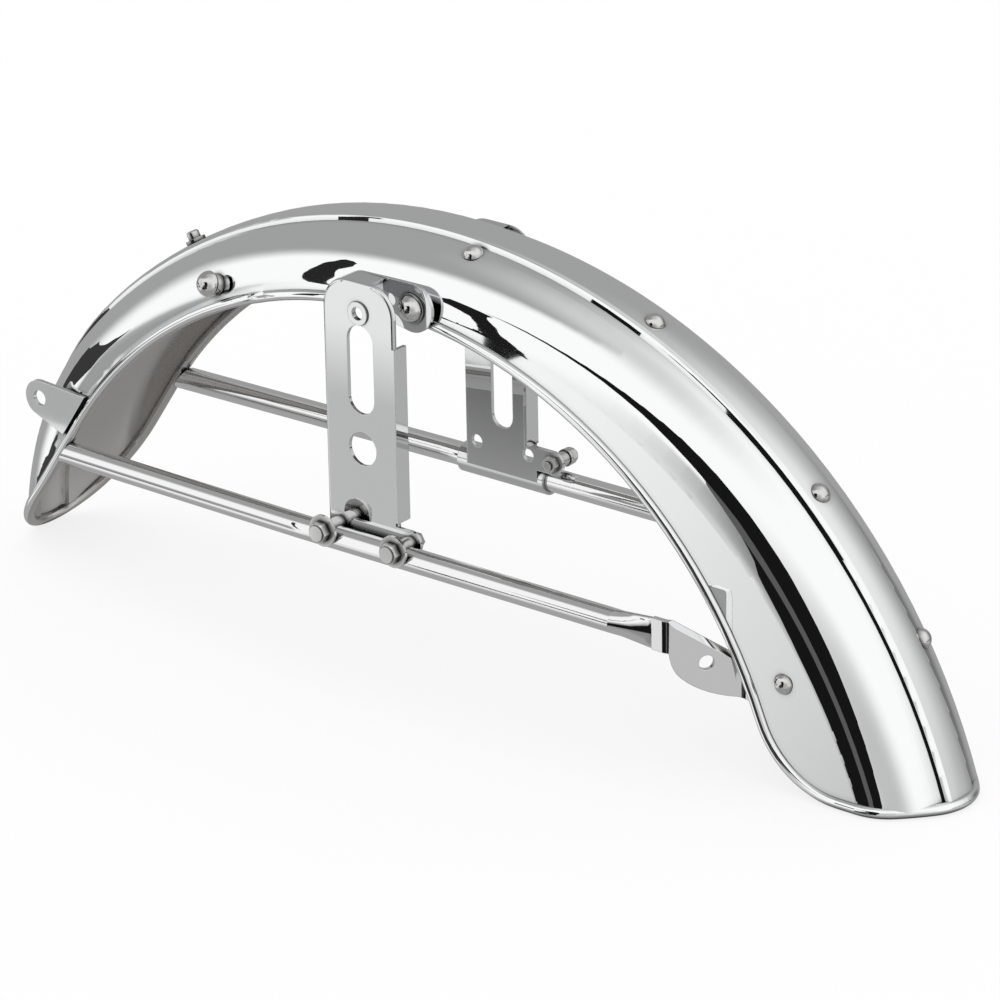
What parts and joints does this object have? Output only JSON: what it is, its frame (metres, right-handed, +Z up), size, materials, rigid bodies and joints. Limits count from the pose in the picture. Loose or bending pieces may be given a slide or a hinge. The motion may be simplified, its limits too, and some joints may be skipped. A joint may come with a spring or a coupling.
{
  "type": "motorcycle front mudguard",
  "caption": "Chromed ribbed front mudguard with a rolled edge, tubular side stays riveted inside its flanks and slotted fork brackets with bolts.",
  "frame": {"origin": "middle of the overall box, on the plane that both lips stand on", "axes": "+X forward along the wheel, +Y to the rider's left along the axle, +Z up"},
  "size_m": [0.6182, 0.1488, 0.238],
  "materials": {
    "blade_chrome": "bright mirror chrome",
    "bracket_chrome": "satin chrome on pressed steel",
    "stay_chrome": "bright chrome on tube",
    "fastener_chrome": "bright chrome on turned steel",
    "plated_steel": "dull zinc plate"
  },
  "bodies": {
    "root": {"mudguard_blade": "blade_chrome", "right_fork_bracket": "bracket_chrome", "left_fork_bracket": "bracket_chrome", "right_stay": "stay_chrome", "left_stay": "stay_chrome", "tail_tab": "bracket_chrome", "right_rear_clamp_bolt": "fastener_chrome", "right_rear_clamp_washer": "fastener_chrome", "right_rear_clamp_collar": "fastener_chrome", "right_rear_clamp_nut": "plated_steel", "right_front_clamp_bolt": "fastener_chrome", "right_front_clamp_washer": "fastener_chrome", "right_front_clamp_collar": "fastener_chrome", "right_front_clamp_nut": "plated_steel", "left_front_clamp_bolt": "fastener_chrome", "left_front_clamp_washer": "fastener_chrome", "left_front_clamp_collar": "fastener_chrome", "left_front_clamp_nut": "plated_steel", "right_lug_bolt": "fastener_chrome", "right_lug_washer": "fastener_chrome", "right_lug_nut": "plated_steel", "right_strap_rivet": "fastener_chrome", "right_strap_spacer": "plated_steel", "left_lug_bolt": "fastener_chrome", "left_lug_washer": "fastener_chrome", "left_lug_nut": "plated_steel", "left_strap_rivet": "fastener_chrome", "left_strap_spacer": "plated_steel", "crown_rivets": "fastener_chrome", "crown_screw": "fastener_chrome", "flank_bolt": "fastener_chrome", "flank_bolt_collar": "fastener_chrome", "crown_rivet_burrs": "plated_steel", "crown_screw_washer": "plated_steel", "crown_screw_nut": "plated_steel", "flank_bolt_washer": "plated_steel", "flank_bolt_nut": "plated_steel"}
  },
  "joints": []
}
